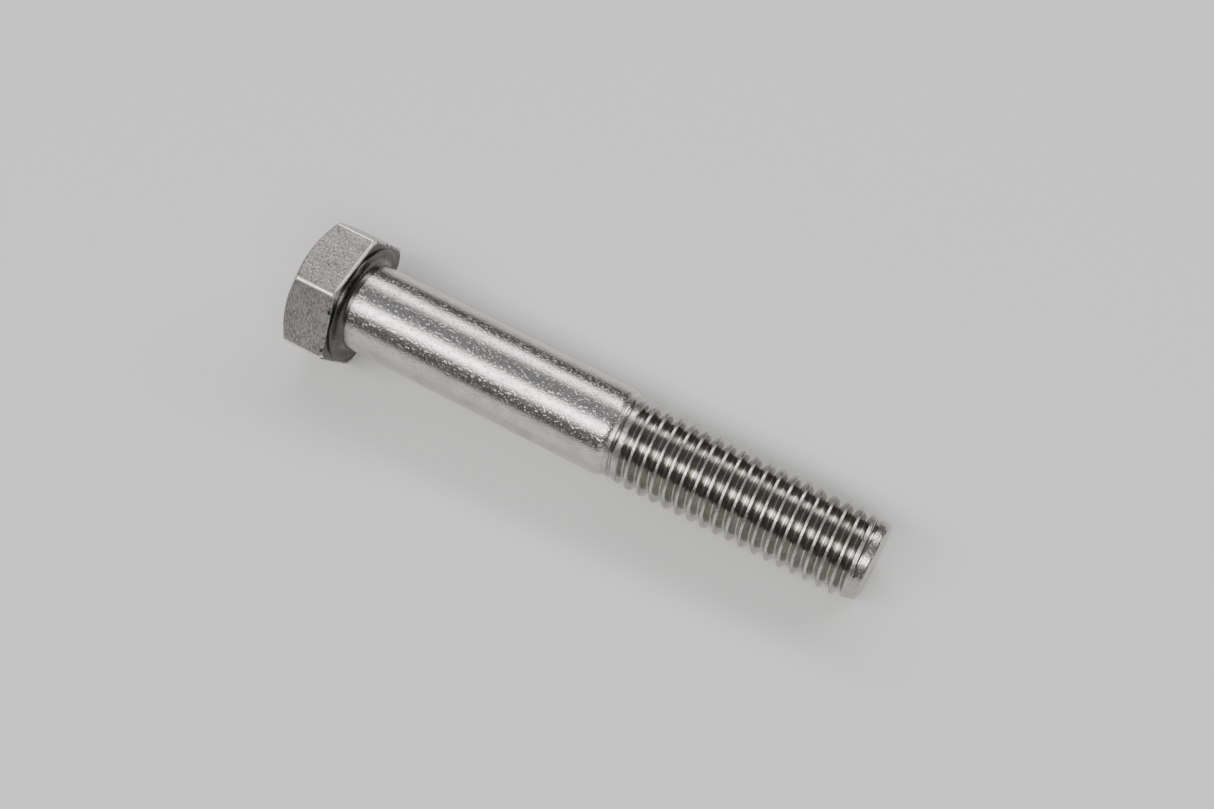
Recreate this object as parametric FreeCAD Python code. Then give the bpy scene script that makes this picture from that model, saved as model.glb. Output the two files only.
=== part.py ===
import FreeCAD, Part
import math
import os

# A partly threaded hexagon head bolt, 9/16-12 UNC x 3 1/2 in, all in millimetres.
# The axis is +X from the head to the point and the origin is the middle of the bearing
# face. +Z is up, with one wrench flat on top and one underneath.

# Overall sizes
across_flats = 20.3
head_height = 8.35
shank_diameter = 14.25
bolt_length = 88.2
plain_length = 45.3
pitch = 25.4 / 12

# Head; the three circles are measured against the flats, and the fillet under the head
# takes its share of the ledge between the shank and the edge of the washer face
corner_round = 0.8
crown_inside_flats = 1.0
crown_angle = 31.0
under_outside_flats = 1.7
under_angle = 30.0
washer_inside_flats = 1.5
washer_height = 0.35
washer_edge = 0.12
underhead_share = 0.44

# Thread form; the first crest is where a full crest crosses the top of the bolt
thread_under_shank = 0.3
crest_flat = 0.33
root_radius = 0.25
flank_angle = 30.0
first_crest_past_shank = 2.57

# Neck between the shank and the thread, where the groove starts shallow and deepens
neck_under_thread = 0.85
shoulder_length = 0.85
neck_length = 0.45
crest_rise = 3.6
runout_length = 4.45
groove_start_turns = 1.45
groove_start_depth = 0.147
groove_fade_power = 1.5
groove_start_spare = 0.3

# Point, where the last turn of the groove drifts towards the head and dies out on the cone
point_length = 3.3
point_under_thread = 1.75
point_round = 0.25
point_spare = 1.0
groove_end_turns = 1.42
groove_end_lift = 1.3
groove_end_drift = 0.7
groove_end_spare = 0.2

# The groove tool stands out past the crest, and the neck's trimming tool clears the full thread
tool_over = 0.12
trim_clear = 0.3
stations_per_turn = 24

AXIS = FreeCAD.Vector(1, 0, 0)
crown_circle = across_flats - crown_inside_flats
under_circle = across_flats + under_outside_flats
washer_diameter = across_flats - washer_inside_flats
thread_diameter = shank_diameter - thread_under_shank
neck_diameter = thread_diameter - neck_under_thread
point_diameter = thread_diameter - point_under_thread
underhead_radius = underhead_share * (washer_diameter - shank_diameter) / 2
first_crest_on_top = plain_length + first_crest_past_shank
shank_radius = shank_diameter / 2
crest_radius = thread_diameter / 2
shoulder_end = plain_length + shoulder_length
runout_end = shoulder_end + runout_length
point_start = bolt_length - point_length


def vec(x, y, z):
    return FreeCAD.Vector(x, y, z)


def tan_deg(angle):
    return math.tan(math.radians(angle))


def turned(points):
    """Solid of revolution about X from (x, radius) corners. Four numbers are an arc's middle and end."""
    edges = []
    last = points[0]
    for entry in points[1:] + [points[0]]:
        start = vec(last[0], 0, last[1])
        end = vec(entry[-2], 0, entry[-1])
        if len(entry) == 4:
            edges.append(Part.Arc(start, vec(entry[0], 0, entry[1]), end).toShape())
        else:
            edges.append(Part.makeLine(start, end))
        last = entry[-2:]
    return Part.Face(Part.Wire(edges)).revolve(vec(0, 0, 0), AXIS, 360)


def make_head():
    """Hexagon with a coned crown, rounded corners and a slight cone that trims them underneath."""
    corner = across_flats / 2 / math.cos(math.radians(30))
    bar_length = head_height - washer_height
    ring = []
    for step in range(7):
        angle = math.radians(60 * step)
        ring.append(vec(-head_height, corner * math.cos(angle), corner * math.sin(angle)))
    bar = Part.Face(Part.makePolygon(ring)).extrude(vec(bar_length, 0, 0))
    long_edges = [edge for edge in bar.Edges if edge.BoundBox.XLength > bar_length / 2]
    bar = bar.makeFillet(corner_round, long_edges)
    crown = crown_circle / 2
    under = under_circle / 2
    rim = corner * 1.04
    envelope = turned([
        (-head_height, 0),
        (-head_height, crown),
        (-head_height + (rim - crown) * tan_deg(crown_angle), rim),
        (-washer_height - (rim - under) * tan_deg(under_angle), rim),
        (-washer_height, under),
        (-washer_height, 0),
    ])
    return bar.common(envelope)


def make_washer_face():
    """Round washer face with the fillet that runs into the shank."""
    face = washer_diameter / 2
    bend = underhead_radius * (1 - math.sqrt(0.5))
    return turned([
        (-washer_height, 0),
        (-washer_height, face),
        (-washer_edge, face),
        (0, face - washer_edge),
        (0, shank_radius + underhead_radius),
        (bend, shank_radius + bend, underhead_radius, shank_radius),
        (underhead_radius, 0),
    ])


def make_shank():
    """Plain cylinder that locates the bolt in its hole, with the shoulder at its far end."""
    return turned([
        (underhead_radius, 0),
        (underhead_radius, shank_radius),
        (plain_length, shank_radius),
        (shoulder_end, neck_diameter / 2),
        (shoulder_end, 0),
    ])


slope = tan_deg(flank_angle)
tangent_half = root_radius * math.cos(math.radians(flank_angle))
tangent_height = root_radius * (1 - math.sin(math.radians(flank_angle)))
half_mouth = (pitch - crest_flat) / 2
depth = (half_mouth - tangent_half) / slope + tangent_height


def groove_wire(x, lift):
    """Closed section of the groove tool above the axis at x, raised by lift from its full depth."""
    half_top = half_mouth + tool_over * slope
    bottom = crest_radius - depth + lift
    top = crest_radius + tool_over + lift
    corners = [
        vec(x - half_top, 0, top),
        vec(x - tangent_half, 0, bottom + tangent_height),
        vec(x, 0, bottom),
        vec(x + tangent_half, 0, bottom + tangent_height),
        vec(x + half_top, 0, top),
    ]
    return Part.Wire([
        Part.makeLine(corners[0], corners[1]),
        Part.Arc(corners[1], corners[2], corners[3]).toShape(),
        Part.makeLine(corners[3], corners[4]),
        Part.makeLine(corners[4], corners[0]),
    ])


def turn_at(x):
    """Turn of the groove tool whose middle crosses the top of the bolt at x."""
    return (x - first_crest_on_top) / pitch - 0.5


def lift_and_drift(turn):
    """How far the groove is raised where it starts and dies out, and how far it leans back there."""
    if turn < 0:
        start_lift = depth - groove_start_depth
        return start_lift * (-turn / groove_start_turns) ** groove_fade_power, 0
    part = (turn - turn_at(bolt_length)) / groove_end_turns + 1
    if part > 0:
        return groove_end_lift * part ** groove_fade_power, groove_end_drift * part
    return 0, 0


def groove_tool(first_turn, last_turn):
    """Right-hand groove tool; turn 0 is on top of the bolt, just past the first crest there."""
    points = []
    count = int(math.ceil((last_turn - first_turn) * stations_per_turn))
    for step in range(count + 1):
        turn = first_turn + (last_turn - first_turn) * step / count
        lift, drift = lift_and_drift(turn)
        x = first_crest_on_top + pitch * (turn + 0.5) - drift
        angle = math.radians(90 + 360 * turn)
        radius = crest_radius + lift
        points.append(vec(x, radius * math.cos(angle), radius * math.sin(angle)))
    curve = Part.BSplineCurve()
    curve.interpolate(points)
    first_lift, first_drift = lift_and_drift(first_turn)
    first_x = first_crest_on_top + pitch * (first_turn + 0.5) - first_drift
    section = groove_wire(first_x, first_lift)
    section.rotate(vec(0, 0, 0), AXIS, 360 * first_turn)
    shell = Part.BRepOffsetAPI.MakePipeShell(Part.Wire([curve.toShape()]))
    shell.setBiNormalMode(AXIS)
    shell.add(section, False, False)
    shell.build()
    shell.makeSolid()
    return shell.shape()


def slice_between(shape, x_from, x_to):
    side = 2 * across_flats
    return shape.common(Part.makeBox(x_to - x_from, side, side, vec(x_from, -side / 2, -side / 2)))


def make_runout():
    """Neck of the rolling blank, with crests that rise and a groove that deepens along it."""
    neck = neck_diameter / 2
    neck_end = shoulder_end + neck_length
    far_end = runout_end + 3 * pitch
    bar = Part.makeCylinder(crest_radius, far_end - plain_length, vec(plain_length, 0, 0), AXIS)
    last_turn = turn_at(runout_end + 1.5 * pitch)
    first_turn = -groove_start_turns - groove_start_spare
    grooved = bar.cut(groove_tool(first_turn, last_turn))
    outside = turned([
        (plain_length - pitch, neck),
        (neck_end, neck),
        (neck_end + crest_rise, crest_radius),
        (far_end, crest_radius + trim_clear),
        (far_end, shank_diameter),
        (plain_length - pitch, shank_diameter),
    ])
    return slice_between(grooved.cut(outside), shoulder_end, runout_end)


def make_thread():
    """Full thread between the run-out and the point."""
    bar_start = runout_end - 3 * pitch
    bar_end = point_start + 3 * pitch
    bar = Part.makeCylinder(crest_radius, bar_end - bar_start, vec(bar_start, 0, 0), AXIS)
    grooved = bar.cut(groove_tool(0, turn_at(bolt_length + point_spare)))
    return slice_between(grooved, runout_end, point_start)


def make_point():
    """Cone at the entering end with the last turns of the groove, faced off and its rim rounded."""
    rim = point_diameter / 2
    drop = (crest_radius - rim) / point_length
    long_cone = turned([
        (point_start, 0),
        (point_start, crest_radius),
        (bolt_length + point_spare, rim - drop * point_spare),
        (bolt_length + point_spare, 0),
    ])
    first_turn = math.floor(turn_at(point_start)) - 1
    last_turn = turn_at(bolt_length) + groove_end_spare
    grooved = long_cone.cut(groove_tool(first_turn, last_turn))
    cone = math.atan(drop)
    middle = (cone + math.pi / 2) / 2
    centre_x = bolt_length - point_round
    centre_r = rim - point_round
    start_x = centre_x + point_round * math.sin(cone)
    start_r = centre_r + point_round * math.cos(cone)
    facing = turned([
        (start_x, start_r),
        (centre_x + point_round * math.sin(middle), centre_r + point_round * math.cos(middle),
         bolt_length, centre_r),
        (bolt_length, 0),
        (bolt_length + 2 * point_spare, 0),
        (bolt_length + 2 * point_spare, start_r + point_spare),
        (start_x + point_spare * math.sin(cone), start_r + point_spare * math.cos(cone)),
    ])
    return grooved.cut(facing)


pieces = {
    "hex_head": make_head(),
    "washer_face": make_washer_face(),
    "shank": make_shank(),
    "thread_runout": make_runout(),
    "thread": make_thread(),
    "point": make_point(),
}

os.makedirs("parts", exist_ok=True)
for name, shape in pieces.items():
    solid = shape.Solids[0]
    if len(shape.Solids) != 1 or not solid.isValid():
        raise ValueError(name + " did not come out as one sound solid")
    solid.exportStep("parts/" + name + ".step")
    print(name, len(solid.Faces), "faces", round(solid.Volume, 1), "cubic mm")
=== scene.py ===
"""A partly threaded hexagon head bolt, 9/16-12 x 3 1/2 in, lying on a pale floor.

The meshes are worked out in millimetres in the row frame: +X from the head to the point,
the bearing face at x = 0, +Z up. Angles round the bolt start at +Y and grow towards +Z.
"""

import math

import bpy
import numpy as np
from mathutils import Matrix, Vector


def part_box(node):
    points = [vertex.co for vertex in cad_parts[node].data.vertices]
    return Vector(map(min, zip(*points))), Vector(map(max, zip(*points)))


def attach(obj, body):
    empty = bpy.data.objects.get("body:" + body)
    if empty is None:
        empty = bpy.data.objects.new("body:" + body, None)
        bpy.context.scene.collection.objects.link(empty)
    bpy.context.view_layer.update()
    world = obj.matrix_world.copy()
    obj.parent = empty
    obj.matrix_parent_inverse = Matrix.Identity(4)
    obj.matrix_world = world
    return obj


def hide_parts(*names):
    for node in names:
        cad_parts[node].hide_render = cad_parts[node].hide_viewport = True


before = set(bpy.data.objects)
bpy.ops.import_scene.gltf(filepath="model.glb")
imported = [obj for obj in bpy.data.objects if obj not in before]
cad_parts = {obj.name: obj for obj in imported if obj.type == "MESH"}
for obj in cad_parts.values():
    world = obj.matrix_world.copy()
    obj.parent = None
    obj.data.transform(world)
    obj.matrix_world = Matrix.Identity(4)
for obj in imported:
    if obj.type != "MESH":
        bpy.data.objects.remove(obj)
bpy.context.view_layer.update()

MM = 0.001


def span(node):
    """Lowest and highest corner of a CAD node, in millimetres."""
    low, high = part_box(node)
    return low / MM, high / MM


# ---------------------------------------------------------------- sizes, in millimetres
head_low, head_high = span("hex_head")
washer_low, washer_high = span("washer_face")
shank_low, shank_high = span("shank")
thread_low, thread_high = span("thread")
point_low, point_high = span("point")

# Read off the boxes of the CAD nodes
HEAD_HEIGHT = -head_low.x
ACROSS_FLATS = head_high.z - head_low.z
WASHER_RADIUS = washer_high.z
WASHER_HEIGHT = -washer_low.x
FILLET_RADIUS = shank_low.x
SHANK_RADIUS = shank_high.z
SHOULDER_END = shank_high.x
CREST_RADIUS = thread_high.z
RUNOUT_END = thread_low.x
POINT_START = point_low.x
BOLT_END = point_high.x

# Sizes that the boxes don't show; they follow the boxes as they do in the CAD source
CROWN_RADIUS = (ACROSS_FLATS - 1.0) / 2
CROWN_ANGLE = math.radians(31)
UNDER_RADIUS = (ACROSS_FLATS + 1.7) / 2
UNDER_ANGLE = math.radians(30)
WASHER_EDGE = 0.12
SHOULDER_LENGTH = 0.85
SHANK_END = SHOULDER_END - SHOULDER_LENGTH
NECK_RADIUS = CREST_RADIUS - 0.85 / 2
NECK_END = SHOULDER_END + 0.45
CREST_RISE_END = NECK_END + 3.6
POINT_RADIUS = CREST_RADIUS - 1.75 / 2
POINT_ROUND = 0.25

# Thread form, and how the groove starts behind the neck and dies out on the point. END_LIFT is
# 0.15 less than in the CAD source, so that the last groove still shows on the cone.
PITCH = 25.4 / 12
CREST_FLAT = 0.33
ROOT_RADIUS = 0.25
FLANK = math.radians(30)
FIRST_CREST = SHANK_END + 2.57
START_TURNS = 1.45
START_DEPTH = 0.147
END_TURNS = 1.42
END_LIFT = 1.15
END_DRIFT = 0.7
FADE_POWER = 1.5

# Edges of the head, each rounded over this much, and what rubbing has taken off
CORNER_SOFT = 0.434
CROWN_SOFT = 0.16
FACE_SOFT = 0.22
UNDER_SOFT = 0.2
BEARING_SOFT = 0.12
RUBBED_SOFT = 0.16
RUBBED_LEAST = 0.06
RUBBED_MORE = 0.04
NICK_SIZE = 0.9
NICK_RARITY = 0.7
NICKS_FROM_TOP = math.radians(34)
NICKS_FADE = math.radians(8)

# Where the head's finishes meet: the bearing edge's band along the axis and in from the flats,
# how far round the top flat its painted highlight reaches, the least knock that gets painted
# shade, the corners' lines in degrees from the middle of a flat and from the face, and where the
# crown's finish starts
EDGE_ALONG = 0.42
EDGE_INSIDE = 0.35
EDGE_HIGHLIGHT = math.radians(31)
NICK_SHOWS = 0.06
CORNER_FROM = 28.2
CORNER_PAST_FACE = 0.6
CROWN_INSIDE = 0.08
FACE_ALONG = 0.4

# The head's mesh before it is rounded: what is cut off its sharp corners, a small step that
# keeps its rows apart, and the radius of its innermost ring at each end
CORNER_CUT = 0.12
JUST_INSIDE = 0.02
FACE_RING = 3.0
BEARING_RING = 8.6

# Columns of each mesh round the axis, enough for a smooth outline from close up
WASHER_COLUMNS = 192
SHANK_COLUMNS = 256
THREAD_COLUMNS = 240
END_THREAD_COLUMNS = 288


# ---------------------------------------------------------------- mesh tools
def piece(name, points, faces, node_name, materials, face_materials=None):
    """A closed mesh from points in millimetres, standing for one CAD node on the root body."""
    mesh = bpy.data.meshes.new(name)
    mesh.from_pydata((np.asarray(points) * MM).tolist(), [], faces)
    for material in materials:
        mesh.materials.append(material)
    if face_materials is not None:
        mesh.polygons.foreach_set("material_index", face_materials)
    mesh.shade_smooth()
    mesh.update()
    thing = bpy.data.objects.new(name, mesh)
    bpy.context.scene.collection.objects.link(thing)
    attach(thing, "root")
    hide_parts(node_name)
    return thing


def crease(thing, rings):
    """Keeps the edges along these closed rings of vertices crisp."""
    wanted = set()
    for ring in rings:
        for a, b in zip(ring, list(ring[1:]) + [ring[0]]):
            wanted.add((min(a, b), max(a, b)))
    mesh = thing.data
    sharp = mesh.attributes.new("sharp_edge", "BOOLEAN", "EDGE")
    flags = [(min(e.vertices), max(e.vertices)) in wanted for e in mesh.edges]
    sharp.data.foreach_set("value", flags)


def smooth_max(a, b, size):
    """The larger of a and b, with the crease between them rounded off."""
    near = np.maximum(size - np.abs(a - b), 0) / size
    return np.maximum(a, b) + near * near * size / 4


def smooth_min(a, b, size):
    return -smooth_max(-a, -b, size)


def wander(seed, length, step):
    """A smooth random run of values between 0 and 1 over a length: returns a function of place."""
    count = int(length / step) + 3
    knots = np.random.RandomState(seed).rand(count)

    def at(place):
        s = np.mod(place, length) / length * (count - 1)
        low = np.floor(s).astype(int)
        part = s - low
        part = part * part * (3 - 2 * part)
        a = knots[low % (count - 1)]
        b = knots[(low + 1) % (count - 1)]
        return a + (b - a) * part

    return at


def revolved(profile, columns, wobble=None):
    """Rings of points round X from (x, radius) rows; wobble moves them as a function of angle."""
    angles = np.arange(columns) * 2 * math.pi / columns
    rows = []
    for row, (x, radius) in enumerate(profile):
        xs = np.full(columns, float(x))
        radii = np.full(columns, float(radius))
        if wobble is not None:
            xs, radii = wobble(row, xs, radii, angles)
        rows.append(np.stack([xs, radii * np.cos(angles), radii * np.sin(angles)], 1))
    return rows


def skin(rows, start_centre, end_centre):
    """Points and outward faces of stacked rings, closed by a fan at each end."""
    columns = len(rows[0])
    points = np.concatenate(rows + [np.array([start_centre, end_centre])])
    faces = []
    for row in range(len(rows) - 1):
        a = row * columns
        b = a + columns
        for j in range(columns):
            k = (j + 1) % columns
            faces.append((a + j, a + k, b + k, b + j))
    start = len(rows) * columns
    last = (len(rows) - 1) * columns
    for j in range(columns):
        k = (j + 1) % columns
        faces.append((start, k, j))
        faces.append((start + 1, last + j, last + k))
    return points, faces


def ring_of(row, columns):
    """Vertex numbers of one ring of a mesh made of stacked rings."""
    return list(range(row * columns, (row + 1) * columns))


# ---------------------------------------------------------------- colours and finishes
def linear(hex_colour):
    """A colour written as sRGB hex, turned into the linear values that shaders take."""
    out = []
    for i in (1, 3, 5):
        c = int(hex_colour[i:i + 2], 16) / 255
        out.append(c / 12.92 if c <= 0.04045 else ((c + 0.055) / 1.055) ** 2.4)
    return (*out, 1.0)


def add(tree, kind, settings=None, inputs=None):
    """Adds one node with its settings; an input that is a socket is linked, any other is set."""
    made = tree.nodes.new(kind)
    for key, value in (settings or {}).items():
        setattr(made, key, value)
    for key, value in (inputs or {}).items():
        if isinstance(value, bpy.types.NodeSocket):
            tree.links.new(value, made.inputs[key])
        else:
            made.inputs[key].default_value = value
    return made


def per_metre(size_mm):
    """Pattern scale for a feature of this size, since object coordinates are in metres."""
    return 1000.0 / size_mm


# Size in mm of the broad patches that every finish has
CLOUD_SIZE = 3.0


def steel(name, colour, stain, roughness, dull=0.06, grain=(0.25, 0.25, 0.25),
          grain_depth=0.002, dents=0.0, dent_size=0.8, mottle=0.3, cloud=0.3):
    """Bare steel. Grain is the size of its fine relief in mm along x, y and z, dents are sparse
    shallow pits, and dent_size is their size. Mottle is how far the grain carries the stain
    colour, cloud how far broad patches do. Depths are in mm."""
    material = bpy.data.materials.new(name)
    material.use_nodes = True
    tree = material.node_tree
    tree.nodes.clear()
    place = add(tree, "ShaderNodeTexCoord").outputs["Object"]
    stretched = add(tree, "ShaderNodeMapping", {}, {
        "Vector": place,
        "Scale": tuple(per_metre(size) for size in grain),
    }).outputs["Vector"]
    fine = add(tree, "ShaderNodeTexNoise", {}, {
        "Vector": stretched, "Scale": 1.0, "Detail": 3.0, "Roughness": 0.6,
    }).outputs["Fac"]
    broad = add(tree, "ShaderNodeTexNoise", {}, {
        "Vector": place, "Scale": per_metre(CLOUD_SIZE), "Detail": 4.0, "Roughness": 0.6,
    }).outputs["Fac"]
    relief = add(tree, "ShaderNodeBump", {}, {
        "Height": fine, "Strength": 1.0, "Distance": grain_depth * MM,
    }).outputs["Normal"]
    if dents:
        blotches = add(tree, "ShaderNodeTexNoise", {}, {
            "Vector": place, "Scale": per_metre(dent_size), "Detail": 2.0, "Roughness": 0.5,
        }).outputs["Fac"]
        pit = add(tree, "ShaderNodeMapRange", {}, {
            "Value": blotches, "From Min": 0.56, "From Max": 0.72, "To Min": 1.0, "To Max": 0.0,
        }).outputs["Result"]
        relief = add(tree, "ShaderNodeBump", {}, {
            "Height": pit, "Strength": 1.0, "Distance": dents * MM, "Normal": relief,
        }).outputs["Normal"]
    rough = add(tree, "ShaderNodeMapRange", {}, {
        "Value": broad, "From Min": 0.35, "From Max": 0.65,
        "To Min": roughness - dull / 2, "To Max": roughness + dull / 2,
    }).outputs["Result"]
    patches = add(tree, "ShaderNodeMapRange", {}, {
        "Value": broad, "From Min": 0.4, "From Max": 0.7, "To Min": 0.0, "To Max": cloud,
    }).outputs["Result"]
    specks = add(tree, "ShaderNodeMapRange", {}, {
        "Value": fine, "From Min": 0.4, "From Max": 0.62, "To Min": 0.0, "To Max": mottle,
    }).outputs["Result"]
    amount = add(tree, "ShaderNodeMath", {"operation": "ADD", "use_clamp": True}, {
        0: patches, 1: specks,
    }).outputs["Value"]
    mixed = add(tree, "ShaderNodeMix", {"data_type": "RGBA"}, {
        "Factor": amount, 6: linear(colour), 7: linear(stain),
    }).outputs[2]
    shader = add(tree, "ShaderNodeBsdfPrincipled", {}, {
        "Base Color": mixed, "Metallic": 1.0, "Roughness": rough, "Normal": relief,
    })
    add(tree, "ShaderNodeOutputMaterial", {}, {"Surface": shader.outputs["BSDF"]})
    return material


# Real grain and pits on a bolt are too fine to show where the whole bolt is in view, so they are
# drawn coarser here, some tenths of a millimetre across.

# Wrench flats are cold formed then tumbled: a satin surface with fine lines across the flat
# that break a reflection up into a soft grey.
satin_flat = steel("tumbled_satin_stainless", "#b2afab", "#5b5855", 0.33, dull=0.08,
                   grain=(0.17, 0.6, 0.6), grain_depth=0.03, dents=0.03, dent_size=0.6,
                   mottle=0.68, cloud=0.25)
# The head's outer face and crown come smooth from the forging die: an even grey sheen.
forged_crown = steel("forged_stainless_crown", "#b3b0ac", "#84807b", 0.32, dull=0.08,
                     grain=(0.35, 0.35, 0.35), grain_depth=0.01, mottle=0.3, cloud=0.3)
# Corners are rubbed bright by wear. The top flat's bearing edge gets the same pale steel as a
# painted highlight, a pale line round the flat.
worn_corner_and_painted_highlight = steel("worn_corners_painted_highlight_stainless", "#e8e7e4", "#b9b6b1", 0.36, dull=0.08,
                       grain=(0.4, 0.4, 0.4), grain_depth=0.006)
# The shank is drawn wire: nearly a mirror along its length, with fine pits and small dents
# that make the long highlights sparkle at their edges.
drawn_shank = steel("drawn_bright_stainless", "#d0cecb", "#8f8b87", 0.19, dull=0.08,
                    grain=(0.28, 0.19, 0.19), grain_depth=0.024, dents=0.025, dent_size=0.42,
                    mottle=0.35, cloud=0.3)
# Painted shade: under the head, the fillet, the washer face and the head's bearing side get a dark
# steel colour, so they look darker.
painted_shade_steel = steel("painted_shade_underhead_stainless", "#636260", "#434241", 0.28, dull=0.08,
                         grain=(0.3, 0.3, 0.3), grain_depth=0.005)
# Thread flanks are burnished by the rolling dies, with fine lines that follow the groove:
# tight bright glints and deep darks.
rolled_flank = steel("rolled_thread_flank_stainless", "#b6b4ae", "#85817a", 0.18, dull=0.06,
                     grain=(0.15, 1.2, 1.2), grain_depth=0.022, mottle=0.5, cloud=0.4)
# Crests are where the rolled metal meets, a little rough: a pale line that sparkles.
rolled_crest = steel("rolled_thread_crest_stainless", "#cbc9c5", "#87847e", 0.29, dull=0.12,
                     grain=(0.16, 0.26, 0.26), grain_depth=0.024, mottle=0.6, cloud=0.2)
# The point was turned before rolling: fine rings with bright patches between them.
turned_point = steel("turned_point_stainless", "#bcbab6", "#86827d", 0.24, dull=0.08,
                     grain=(0.13, 1.0, 1.0), grain_depth=0.014, dents=0.02, dent_size=0.5)


# ---------------------------------------------------------------- head
def hexagon_gap(y, z):
    """How far a place stands outside the six flats, with the corners rounded."""
    gap = None
    for side in range(6):
        angle = math.radians(90 + 60 * side)
        flat = y * math.cos(angle) + z * math.sin(angle) - ACROSS_FLATS / 2
        gap = flat if gap is None else smooth_max(gap, flat, CORNER_SOFT)
    return gap


edge_wear = wander(7, 2 * math.pi, 0.035)
edge_nicks = wander(11, 2 * math.pi, 0.05)


def from_top(angle):
    """How far round the bolt a place is from the middle of its top flat."""
    return np.abs((angle - math.pi / 2 + math.pi) % (2 * math.pi) - math.pi)


def nick_depth(angle):
    """Small knocks along the bearing edge; the top flat's own edge is rubbed clean of them."""
    lasting = np.clip((from_top(angle) - NICKS_FROM_TOP) / NICKS_FADE, 0, 1)
    return NICK_SIZE * np.maximum(edge_nicks(angle) - NICK_RARITY, 0) * lasting


def head_gap(x, y, z):
    """Distance outside the head: flats, crown cone, face, trimmed corners and bearing side."""
    radius = np.hypot(y, z)
    angle = np.arctan2(z, y)
    flats = hexagon_gap(y, z)
    face = -(x + HEAD_HEIGHT)
    bearing = x + WASHER_HEIGHT
    past_crown = radius - CROWN_RADIUS
    past_under = radius - UNDER_RADIUS
    crown = face * math.cos(CROWN_ANGLE) + past_crown * math.sin(CROWN_ANGLE)
    under = bearing * math.cos(UNDER_ANGLE) + past_under * math.sin(UNDER_ANGLE)
    worn = RUBBED_LEAST + RUBBED_MORE * edge_wear(angle) + nick_depth(angle)
    rubbed = (bearing + flats) * math.sqrt(0.5) + worn
    gap = smooth_max(flats, crown, CROWN_SOFT)
    gap = smooth_max(gap, face, FACE_SOFT)
    gap = smooth_max(gap, under, UNDER_SOFT)
    gap = smooth_max(gap, bearing, BEARING_SOFT)
    return smooth_max(gap, rubbed, RUBBED_SOFT)


def spread(a, b, near=(0.03, 0.08, 0.14, 0.21, 0.3, 0.42, 0.6), middle=3):
    """Places from 0 to 1 along a run of this length that crowd towards both of its ends."""
    length = math.hypot(b[0] - a[0], b[1] - a[1])
    steps = [0.0]
    if length > 1e-6:
        steps += [min(n / length, 0.46 * (i + 1) / len(near)) for i, n in enumerate(near)]
        inner = steps[-1]
        steps += [inner + (1 - 2 * inner) * (m + 1) / (middle + 1) for m in range(middle)]
        steps += [1 - s for s in reversed(steps[1:len(near) + 1])]
    else:
        steps += [0.0] * (2 * len(near) + middle)
    return steps


def head_columns():
    """Angles of the head's columns: every degree, and every half degree beside a corner."""
    columns = []
    for side in range(6):
        for step in range(-30, 30):
            columns.append(90 + 60 * side + step)
            if abs(step) >= 28 or step == 29:
                columns.append(90 + 60 * side + step + 0.5)
    return np.radians(sorted(set(columns)))


def head_line(angle):
    """(x, radius) places down one column: face, crown, flat, trimmed corner, bearing side."""
    half = ACROSS_FLATS / 2
    offset = (angle - math.radians(60)) % math.radians(60) - math.radians(30)
    rim = min(half / math.cos(offset), half / math.cos(math.radians(30)) - CORNER_CUT)
    corners = [
        (-HEAD_HEIGHT, FACE_RING),
        (-HEAD_HEIGHT, CROWN_RADIUS),
        (-HEAD_HEIGHT + (rim - CROWN_RADIUS) * math.tan(CROWN_ANGLE), rim),
        (-WASHER_HEIGHT - max(rim - UNDER_RADIUS, JUST_INSIDE) * math.tan(UNDER_ANGLE), rim),
        (-WASHER_HEIGHT, min(rim, UNDER_RADIUS) - JUST_INSIDE),
        (-WASHER_HEIGHT, BEARING_RING),
    ]
    line = []
    for a, b in zip(corners, corners[1:]):
        for t in spread(a, b)[:-1]:
            line.append((a[0] + (b[0] - a[0]) * t, a[1] + (b[1] - a[1]) * t))
    line.append(corners[-1])
    return np.array(line)


def make_head():
    """Rings that follow the head's edges, moved onto its rounded surface in a few steps."""
    stack = []
    for angle in head_columns():
        x, radius = head_line(angle).T
        stack.append(np.stack([x, radius * math.cos(angle), radius * math.sin(angle)], 1))
    grid = np.array(stack).transpose(1, 0, 2)
    points = grid.reshape(-1, 3)
    reach = 1e-4
    # Each step follows the slope of the gap towards the surface.
    for _ in range(6):
        x, y, z = points.T
        gap = head_gap(x, y, z)
        slope = np.stack([
            head_gap(x + reach, y, z) - head_gap(x - reach, y, z),
            head_gap(x, y + reach, z) - head_gap(x, y - reach, z),
            head_gap(x, y, z + reach) - head_gap(x, y, z - reach),
        ], 1) / (2 * reach)
        size = np.maximum((slope ** 2).sum(1), 0.25)
        points = points - slope * (gap / size)[:, None]
    rows = list(points.reshape(grid.shape))
    return skin(rows, (-HEAD_HEIGHT, 0, 0), (-WASHER_HEIGHT, 0, 0))


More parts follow.
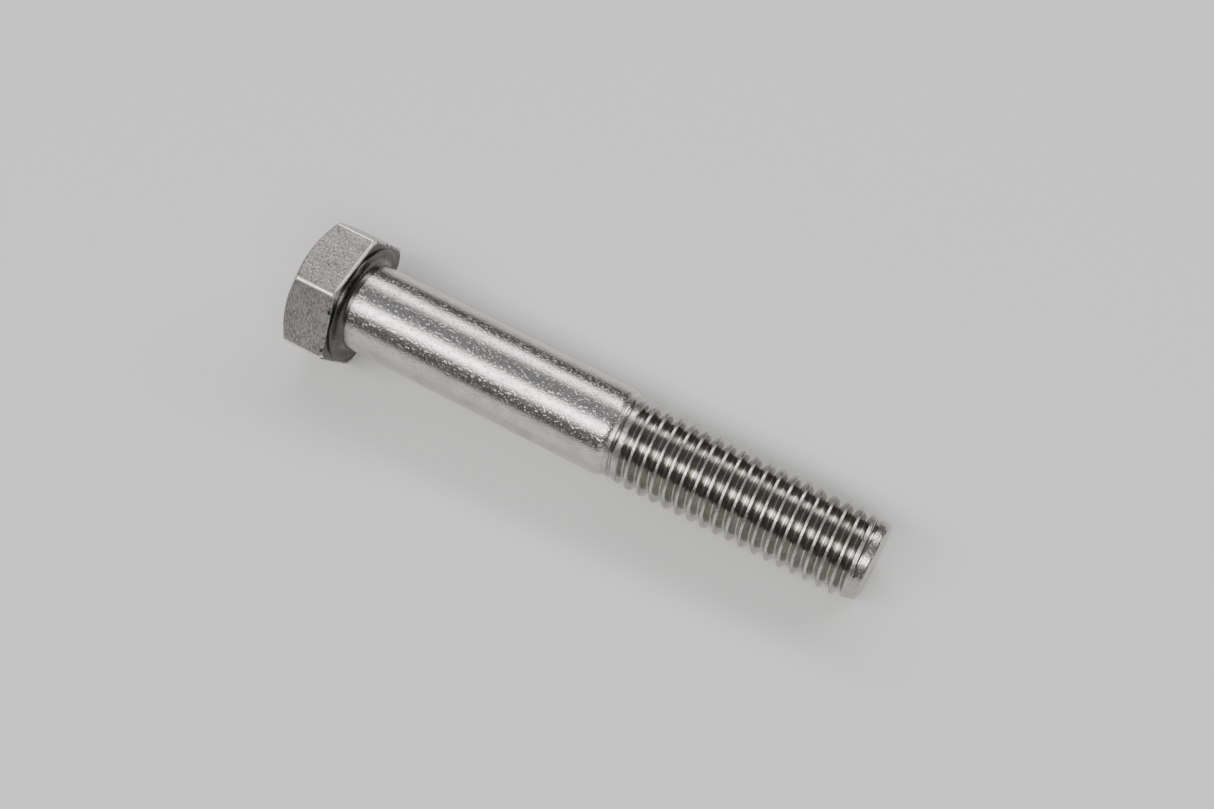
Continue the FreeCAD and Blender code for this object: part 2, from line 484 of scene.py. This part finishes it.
def head_finishes(centres):
    """Which finish each face of the head has: 0 flat, 1 worn corner or painted highlight, 2
    painted shade, 3 crown.
    """
    x, y, z = centres.T
    around = np.arctan2(z, y)
    inside_flats = np.abs(hexagon_gap(y, z))
    turn_in_flat = (np.degrees(around) - 60) % 60 - 30
    on_edge = (x > -WASHER_HEIGHT - EDGE_ALONG) & (inside_flats < EDGE_INSIDE)
    # Painted highlight: only the bearing edge near the top flat gets the pale steel.
    painted_highlight_edge = on_edge & (from_top(around) < EDGE_HIGHLIGHT)
    # Painted shade: knocks deep enough get the dark steel, standing in for the dark they reflect.
    shaded_knocks = on_edge & (nick_depth(around) > NICK_SHOWS)
    on_corner = (np.abs(turn_in_flat) > CORNER_FROM) & (x > -HEAD_HEIGHT + CORNER_PAST_FACE)
    on_crown = (inside_flats > CROWN_INSIDE) & (x < -HEAD_HEIGHT / 2)
    # Painted shade: the head's bearing side past the edge band gets the dark steel.
    shaded_underside = (x > -WASHER_HEIGHT - JUST_INSIDE) & (inside_flats >= EDGE_INSIDE)
    finishes = np.zeros(len(centres), int)
    finishes[painted_highlight_edge | on_corner] = 1
    finishes[shaded_underside | shaded_knocks] = 2
    finishes[(x < -HEAD_HEIGHT + FACE_ALONG) | on_crown] = 3
    return finishes


head_points, head_faces = make_head()
head_centres = np.array([head_points[list(f)].mean(0) for f in head_faces])
piece("hex_head_forged", head_points, head_faces, "hex_head",
      [satin_flat, worn_corner_and_painted_highlight, painted_shade_steel, forged_crown], head_finishes(head_centres))


# ---------------------------------------------------------------- washer face and shank
def arc_rows(x, radius, size, start, end, steps):
    """(x, radius) rows along an arc; angles in degrees from +X towards outward."""
    rows = []
    for i in range(steps + 1):
        a = math.radians(start + (end - start) * i / steps)
        rows.append((x + size * math.cos(a), radius + size * math.sin(a)))
    return rows


washer_rows = [(-WASHER_HEIGHT, BEARING_RING), (-WASHER_HEIGHT, WASHER_RADIUS)]
washer_rows += arc_rows(-WASHER_EDGE, WASHER_RADIUS - WASHER_EDGE, WASHER_EDGE, 90, 0, 5)
# Two rings in between keep the bearing face flat to the eye.
washer_rows += [(0, 8.9), (0, 8.5)]
washer_rows += arc_rows(FILLET_RADIUS, SHANK_RADIUS + FILLET_RADIUS, FILLET_RADIUS, 180, 270, 10)
washer_points, washer_faces = skin(
    revolved(washer_rows, WASHER_COLUMNS), (-WASHER_HEIGHT, 0, 0), (FILLET_RADIUS, 0, 0))
# Painted shade: the whole washer face and fillet take the dark steel colour.
washer = piece("washer_face_and_fillet", washer_points, washer_faces, "washer_face",
               [painted_shade_steel])
crease(washer, [ring_of(row, WASHER_COLUMNS) for row in (0, 1, len(washer_rows) - 1)])

# The shoulder's edge: how far it wanders and is chipped, how far along the shoulder that fades
# out, and how much it is rounded
EDGE_WANDER = 0.07
EDGE_CHIPS = 0.03
EDGE_FADE = 0.75
EDGE_SOFT = 0.3
shank_end_wear = wander(23, 2 * math.pi, 0.16)
shank_end_chip = wander(29, 2 * math.pi, 0.06)
# Even rows along the plain part, then rows that crowd round the edge of the shoulder
straight_rows = 45
straight_step = (SHANK_END - 0.5 - FILLET_RADIUS) / (straight_rows - 1)
edge_offsets = (-0.3, -0.16, -0.07, 0.0, 0.08, 0.2, 0.4, 0.62)
shank_rows = [(FILLET_RADIUS + i * straight_step, SHANK_RADIUS) for i in range(straight_rows)]
shank_rows += [(SHANK_END + offset, SHANK_RADIUS) for offset in edge_offsets]
shank_rows.append((SHOULDER_END, NECK_RADIUS))
drop = (SHANK_RADIUS - NECK_RADIUS) / (SHOULDER_END - SHANK_END)


def shank_wobble(row, xs, radii, angles):
    """Rounds the shoulder's edge and lets it wander a little along the shank."""
    if straight_rows <= row < straight_rows + len(edge_offsets):
        shift = -EDGE_WANDER * shank_end_wear(angles) - EDGE_CHIPS * shank_end_chip(angles)
        fade = 1 - max(0.0, edge_offsets[row - straight_rows]) / EDGE_FADE
        xs = xs + shift * fade
        slope = SHANK_RADIUS - drop * (xs - SHANK_END - shift)
        radii = smooth_min(radii, slope, EDGE_SOFT)
        radii = np.maximum(radii, NECK_RADIUS)
    return xs, radii


shank_points, shank_faces = skin(
    revolved(shank_rows, SHANK_COLUMNS, shank_wobble), (FILLET_RADIUS, 0, 0), (SHOULDER_END, 0, 0))
shank = piece("plain_shank", shank_points, shank_faces, "shank", [drawn_shank])
crease(shank, [ring_of(row, SHANK_COLUMNS) for row in (0, len(shank_rows) - 1)])


# ---------------------------------------------------------------- thread
ROOT_HALF = ROOT_RADIUS * math.cos(FLANK)
ROOT_RISE = ROOT_RADIUS * (1 - math.sin(FLANK))
MOUTH_HALF = (PITCH - CREST_FLAT) / 2
GROOVE_DEPTH = (MOUTH_HALF - ROOT_HALF) / math.tan(FLANK) + ROOT_RISE
ROOT_BOTTOM = CREST_RADIUS - GROOVE_DEPTH
TURN_LENGTH = 2 * math.pi * CREST_RADIUS

# Wear of the crests, and the fine seam that rolling leaves along the middle of each
CREST_SOFT = 0.07
CREST_WEAR = 0.035
CREST_CHIPS = 0.03
SEAM_DEPTH = 0.03
SEAM_HALF = 0.06

# Rows of the mesh by their distance from a crest's middle, closest round the crest's edge and
# the root, and the least distance between a row and an end
CREST_OFFSETS = [0.0, 0.075, 0.125, 0.16, 0.19, 0.24, 0.42, 0.64, 0.84, 0.91, 0.98]
LEAST_STEP = 0.012

# Past this the point's cone is bare of thread
TURNED_FROM = POINT_START + 1.5

# The wear repeats after 20 turns, about the length of the thread
WORN_LENGTH = 20 * TURN_LENGTH
crest_wear = wander(41, WORN_LENGTH, 0.7)
crest_chip = wander(43, WORN_LENGTH, 0.3)


def outline(x):
    """Radius of the blank that the groove is rolled into: neck, rise, full thread, point cone."""
    risen = (x - NECK_END) / (CREST_RISE_END - NECK_END)
    rise = NECK_RADIUS + (CREST_RADIUS - NECK_RADIUS) * risen
    tapered = (x - POINT_START) / (BOLT_END - POINT_START)
    cone = CREST_RADIUS + (POINT_RADIUS - CREST_RADIUS) * tapered
    out = np.minimum(np.maximum(rise, NECK_RADIUS), CREST_RADIUS)
    out = np.minimum(out, cone)
    centre = BOLT_END - POINT_ROUND
    rim = POINT_RADIUS - POINT_ROUND + np.sqrt(
        np.maximum(POINT_ROUND ** 2 - np.maximum(x - centre, 0) ** 2, 0))
    return np.where(x > centre, np.minimum(out, rim), out)


def lift_of(turn):
    """How far the groove is raised from its full depth where it starts and where it dies out."""
    start = (GROOVE_DEPTH - START_DEPTH) * (np.maximum(-turn, 0) / START_TURNS) ** FADE_POWER
    return start + END_LIFT * ended(turn) ** FADE_POWER


def ended(turn):
    """Zero along the bolt, growing past one as the groove dies out on the point."""
    last = (BOLT_END - FIRST_CREST) / PITCH - 0.5
    return np.maximum((turn - last) / END_TURNS + 1, 0)


def groove_surface(x, angle):
    """Radius of the groove's own surface at x and angle: the lowest of the turns beside it."""
    part = (angle - math.pi / 2) / (2 * math.pi)
    phase = (x - FIRST_CREST) / PITCH - part - 0.5
    lowest = None
    for neighbour in (0, 1, 2):
        turn = part + np.floor(phase) + neighbour
        middle_x = FIRST_CREST + PITCH * (turn + 0.5) - END_DRIFT * ended(turn)
        across = np.abs(x - middle_x)
        near = np.minimum(across, ROOT_HALF)
        root = ROOT_RADIUS - np.sqrt(ROOT_RADIUS ** 2 - near ** 2)
        side = ROOT_RISE + (across - ROOT_HALF) / math.tan(FLANK)
        here = ROOT_BOTTOM + np.where(across < ROOT_HALF, root, side) + lift_of(turn)
        lowest = here if lowest is None else np.minimum(lowest, here)
    return lowest


def thread_radius(x, angle):
    """Radius of the threaded surface: the blank with its groove, its crests a little worn."""
    turn = (x - FIRST_CREST) / PITCH
    along = (turn + 2) * TURN_LENGTH
    off_seam = np.abs(turn - (angle - math.pi / 2) / (2 * math.pi) + 0.5) % 1 - 0.5
    seam = SEAM_DEPTH * np.exp(-(off_seam * PITCH / SEAM_HALF) ** 2)
    wear = CREST_WEAR * crest_wear(along) + CREST_CHIPS * crest_chip(along) + seam
    return smooth_min(groove_surface(x, angle), outline(x) - wear, CREST_SOFT)


def ringed_faces(number, before, total, columns, rows_per_turn):
    """Faces between neighbouring columns of the helix, cut off flat at both ends.

    The last column meets the first one turn further on. A place past an end has the number of
    the end ring's vertex in its column, so faces there shrink to triangles or to nothing.
    """
    rows = len(number)
    faces = []
    for j in range(columns):
        k = (j + 1) % columns
        shift = rows_per_turn if k == 0 else 0
        for i in range(rows - 1):
            right_low = right_high = total + columns + k
            if i + shift + 1 < rows:
                right_low = number[i + shift, k]
                right_high = number[i + shift + 1, k]
            left_low = number[i, j]
            left_high = number[i + 1, j]
            face = []
            for corner in (left_low, right_low, right_high, left_high):
                if corner not in face:
                    face.append(int(corner))
            all_before = before[i + 1, j] and right_high == total + k
            all_after = left_low == total + columns + j
            if len(face) > 2 and not all_before and not all_after:
                faces.append(face)
    return faces


def threaded(x_from, x_to, columns, tail=()):
    """Closed mesh of the threaded surface between two planes, its rows following the helix.

    The tail adds plain rings past the second plane. Returns the end rings' vertices too.
    """
    offsets = CREST_OFFSETS + [PITCH / 2] + [PITCH - o for o in reversed(CREST_OFFSETS[1:])]
    first = math.floor((x_from - FIRST_CREST) / PITCH) - 2
    last = math.ceil((x_to - FIRST_CREST) / PITCH) + 2
    angles = np.arange(columns) * 2 * math.pi / columns
    lead = PITCH * (angles - math.pi / 2) / (2 * math.pi)
    base = np.array([FIRST_CREST + PITCH * n + o for n in range(first, last) for o in offsets])
    x = base[:, None] + lead[None, :]
    x = x - END_DRIFT * ended((x - FIRST_CREST) / PITCH - 0.5)
    before = x <= x_from + LEAST_STEP
    after = x >= x_to - LEAST_STEP
    inside = ~before & ~after
    total = int(inside.sum())
    column = np.arange(columns)[None, :]
    number = np.cumsum(inside.ravel()).reshape(x.shape) - 1
    number = np.where(before, total + column, number)
    number = np.where(after, total + columns + column, number)
    rings = (x_from, x_to, *tail)
    xs = np.concatenate([x[inside]] + [np.full(columns, place) for place in rings])
    around = np.concatenate([np.broadcast_to(angles, x.shape)[inside]] + [angles] * len(rings))
    radii = thread_radius(xs, around)
    points = np.stack([xs, radii * np.cos(around), radii * np.sin(around)], 1)
    faces = ringed_faces(number, before, total, columns, len(offsets))
    for extra in range(len(tail)):
        a = total + columns * (1 + extra)
        b = a + columns
        for j in range(columns):
            k = (j + 1) % columns
            faces.append([a + j, a + k, b + k, b + j])
    end = total + columns * (len(rings) - 1)
    start_ring = list(range(total, total + columns))
    end_ring = list(range(end, end + columns))
    centre = len(points)
    points = np.concatenate([points, [[rings[0], 0, 0], [rings[-1], 0, 0]]])
    for j in range(columns):
        k = (j + 1) % columns
        faces.append([centre, start_ring[k], start_ring[j]])
        faces.append([centre + 1, end_ring[j], end_ring[k]])
    return points, faces, start_ring, end_ring


def thread_finishes(centres):
    """Which finish each face of the thread has: 0 crest or neck, 1 flank, 2 the turned cone."""
    x, y, z = centres.T
    blank = groove_surface(x, np.arctan2(z, y)) > outline(x) - 0.03
    return np.where(blank, np.where(x > TURNED_FROM, 2, 0), 1)


def thread_piece(name, node_name, x_from, x_to, columns, tail=()):
    """One piece of the thread. Its flat ends are crisp; a rounded rim in a tail isn't."""
    points, faces, start_ring, end_ring = threaded(x_from, x_to, columns, tail)
    centres = np.array([points[face].mean(0) for face in faces])
    thing = piece(name, points, faces, node_name,
                  [rolled_crest, rolled_flank, turned_point], thread_finishes(centres))
    crease(thing, [start_ring] if tail else [start_ring, end_ring])


rim_centre = BOLT_END - POINT_ROUND
rim_angles = np.radians((15, 26, 40, 54, 68, 80))
rim_places = [rim_centre + POINT_ROUND * math.sin(angle) for angle in rim_angles]
thread_piece("thread_runout_rolled", "thread_runout", SHOULDER_END, RUNOUT_END, END_THREAD_COLUMNS)
thread_piece("full_thread_rolled", "thread", RUNOUT_END, POINT_START, THREAD_COLUMNS)
thread_piece("point_cone_rolled", "point", POINT_START, rim_places[0], END_THREAD_COLUMNS,
             rim_places[1:] + [BOLT_END])


# ---------------------------------------------------------------- floor, light and camera
# The bolt lies on the bearing end of its bottom flat and on its last full crest
rest_near = Vector((-WASHER_HEIGHT, 0, -ACROSS_FLATS / 2)) * MM
rest_far = Vector((POINT_START, 0, -CREST_RADIUS)) * MM
floor_along = (rest_far - rest_near).normalized()
floor_across = Vector((0, 1, 0))
floor_up = floor_along.cross(floor_across).normalized()
bpy.ops.mesh.primitive_plane_add(size=8)
floor = bpy.context.object
floor.name = "floor"
floor.matrix_world = Matrix.Translation(rest_near) @ Matrix(
    (floor_along, floor_across, floor_up)).transposed().to_4x4()
# Plain paper: a matte pale surface that keeps the shadow soft and reflects evenly in the steel.
paper = bpy.data.materials.new("matte_pale_paper")
paper.use_nodes = True
paper_shader = paper.node_tree.nodes["Principled BSDF"]
paper_shader.inputs["Base Color"].default_value = linear("#d8d8d6")
paper_shader.inputs["Roughness"].default_value = 0.9
paper_shader.inputs["Specular IOR Level"].default_value = 0.2
floor.data.materials.append(paper)

# Long softboxes lie parallel to the bolt, one over its far side and one over its near side.
# Each has a wider, dimmer skirt behind it, so that the highlights fade at their edges.
# Columns: name, angle round the bolt in degrees, distance, length and width in metres, radiance
SOFTBOXES = [
    ("far_softbox", 49, 0.9, 1.6, 0.19, 4.2),
    ("far_softbox_skirt", 50, 0.91, 1.7, 0.4, 1.1),
    ("near_softbox", 124, 1.1, 1.8, 0.28, 7.5),
    ("near_softbox_skirt", 124, 1.11, 1.9, 0.54, 1.3),
]
bolt_middle = Vector((BOLT_END / 2, 0, 0)) * MM


def softbox(name, angle, distance, length, width, radiance):
    """A long soft light parallel to the bolt, at this angle round it."""
    lamp = bpy.data.lights.new(name, "AREA")
    lamp.shape = "RECTANGLE"
    lamp.size = length
    lamp.size_y = width
    lamp.energy = radiance * math.pi * length * width
    thing = bpy.data.objects.new(name, lamp)
    away = Vector((0, math.cos(angle), math.sin(angle)))
    side = Vector((1, 0, 0))
    thing.location = bolt_middle + away * distance
    thing.rotation_euler = Matrix((side, away.cross(side), away)).transposed().to_euler()
    bpy.context.scene.collection.objects.link(thing)


for name, degrees, *measures in SOFTBOXES:
    softbox(name, math.radians(degrees), *measures)

# A dim grey room, darkest at the floor's horizon and lighter overhead
HORIZON_LEVEL = 0.1
OVERHEAD_LEVEL = 0.38
world = bpy.data.worlds.new("studio_room")
bpy.context.scene.world = world
world.use_nodes = True
sky = world.node_tree
sky.nodes.clear()
direction = add(sky, "ShaderNodeTexCoord").outputs["Generated"]
height = add(sky, "ShaderNodeSeparateXYZ", {}, {"Vector": direction}).outputs["Z"]
level = add(sky, "ShaderNodeMapRange", {}, {
    "Value": height, "From Min": 0.1, "From Max": 1.0,
    "To Min": HORIZON_LEVEL, "To Max": OVERHEAD_LEVEL,
}).outputs["Result"]
backdrop = add(sky, "ShaderNodeBackground", {}, {"Color": linear("#eef0f3"), "Strength": level})
add(sky, "ShaderNodeOutputWorld", {}, {"Surface": backdrop.outputs["Background"]})

# Where the camera stands, in metres, and which way it and its right-hand side point
CAMERA_PLACE = Vector((0.10417, -0.11651, 0.24020))
CAMERA_FORWARD = Vector((-0.22674, 0.43526, -0.87128))
CAMERA_RIGHT = Vector((0.87063, 0.49157, 0.01900))

lens = bpy.data.cameras.new("camera")
lens.sensor_width = 36
lens.lens = 53.8
camera = bpy.data.objects.new("camera", lens)
forward = CAMERA_FORWARD.normalized()
right = (CAMERA_RIGHT - forward * CAMERA_RIGHT.dot(forward)).normalized()
above = right.cross(forward)
camera.matrix_world = Matrix.Translation(CAMERA_PLACE) @ Matrix(
    (right, above, -forward)).transposed().to_4x4()
bpy.context.scene.collection.objects.link(camera)
bpy.context.scene.camera = camera
